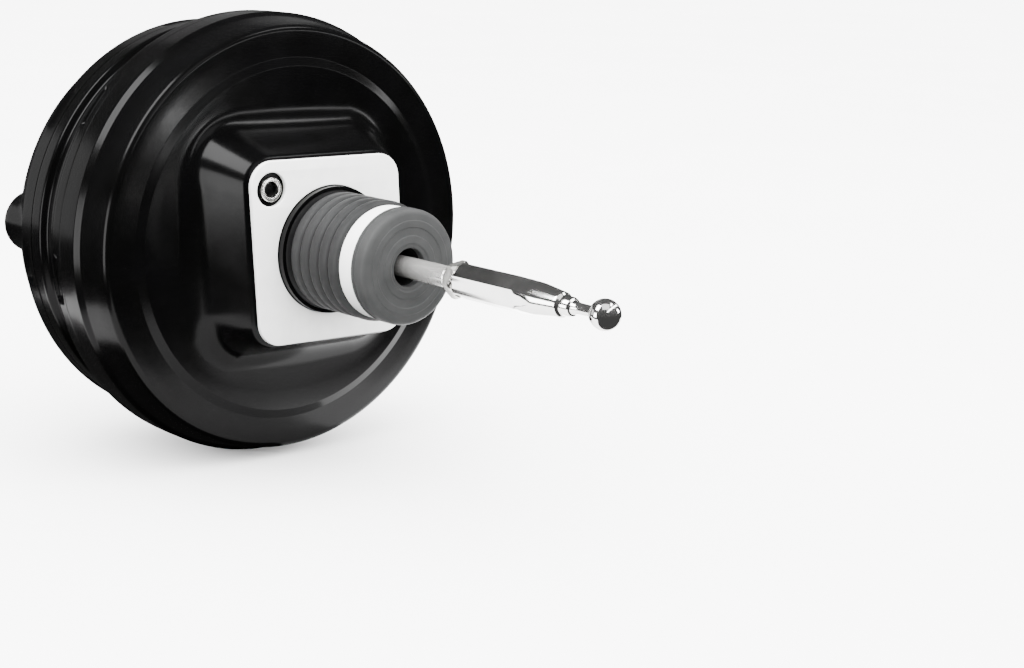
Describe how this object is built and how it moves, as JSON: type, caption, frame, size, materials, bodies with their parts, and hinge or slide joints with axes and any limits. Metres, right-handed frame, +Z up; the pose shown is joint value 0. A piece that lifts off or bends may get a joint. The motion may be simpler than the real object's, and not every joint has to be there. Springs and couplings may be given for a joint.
{
  "type": "vacuum brake booster",
  "caption": "Tandem vacuum brake booster: crimped black drum of pressed shells with a sliding power piston, ribbed dust boot, ball-ended input rod and studs for a master cylinder.",
  "frame": {"origin": "centre of the rear mounting face, on the booster's axis", "axes": "+Y along the booster's axis towards the master cylinder, +Z up, +X to the right seen from the pedal"},
  "size_m": [0.259, 0.427, 0.259],
  "materials": {
    "black_paint": "satin black coating on pressed steel",
    "pale_gasket": "pale matt gasket plate",
    "zinc_steel": "zinc plated",
    "bright_steel": "bright plated, machined",
    "plate_steel": "plain pressed steel",
    "black_rubber": "matt",
    "white_plastic": "smooth",
    "grey_plastic": "smooth",
    "moulded_plastic": "moulded phenolic",
    "spring_steel": "drawn wire",
    "filter_foam": "open foam and felt"
  },
  "bodies": {
    "housing": {"centre_seal": "black_rubber", "centre_seal_clip": "zinc_steel", "centre_shell": "black_paint", "dust_boot": "black_rubber", "front_shell": "black_paint", "front_tube_gaskets": "black_rubber", "lower_tie_tube": "zinc_steel", "mounting_plate": "pale_gasket", "neck_bearing": "moulded_plastic", "neck_retainer": "zinc_steel", "neck_seal": "black_rubber", "partition": "plate_steel", "partition_grommets": "black_rubber", "port_tag": "zinc_steel", "rear_shell": "black_paint", "rear_tube_gaskets": "black_rubber", "upper_tie_tube": "zinc_steel", "vacuum_grommet": "black_rubber"},
    "power_piston": {"valve_body": "moulded_plastic", "rear_piston_plate": "plate_steel", "front_piston_plate": "plate_steel", "rear_lock_ring": "zinc_steel", "front_lock_ring": "zinc_steel", "rear_plate_seals": "black_rubber", "front_plate_seals": "black_rubber", "reaction_disc": "black_rubber", "output_rod": "bright_steel", "output_rod_retainer": "grey_plastic", "boot_band": "white_plastic", "end_cap": "grey_plastic", "silencer": "filter_foam", "air_filter": "filter_foam", "valve_key": "zinc_steel", "poppet_valve": "black_rubber", "poppet_retainer": "zinc_steel", "poppet_spring": "spring_steel", "rear_diaphragm": "black_rubber", "front_diaphragm": "black_rubber", "return_spring": "spring_steel", "rod_return_spring": "spring_steel"},
    "valve_plunger": {"valve_plunger": "bright_steel"},
    "input_rod": {"input_rod": "bright_steel", "rod_spring_seat": "zinc_steel", "lock_nut": "zinc_steel", "ball_sleeve": "bright_steel"}
  },
  "joints": [
    {"name": "piston_slide", "type": "slide", "parent": "housing", "child": "power_piston", "axis": [0, 1, 0], "range_m": [0, 0.03], "stiffness_N_per_m": 5000, "springref_m": -0.02, "deforming": ["dust_boot", "rear_diaphragm", "front_diaphragm", "return_spring"]},
    {"name": "valve_stroke", "type": "slide", "parent": "power_piston", "child": "valve_plunger", "axis": [0, 1, 0], "range_m": [0, 0.002], "stiffness_N_per_m": 8000, "springref_m": -0.003, "deforming": ["poppet_valve", "poppet_spring", "rod_return_spring"]},
    {"name": "rod_tilt", "type": "hinge", "parent": "valve_plunger", "child": "input_rod", "pos_m": [0, 0.03, 0], "axis": [1, 0, 0], "range_deg": [-2.4, 2.4], "stiffness_Nm_per_rad": 60, "springref_deg": -0.42, "deforming": ["silencer", "air_filter"]}
  ]
}
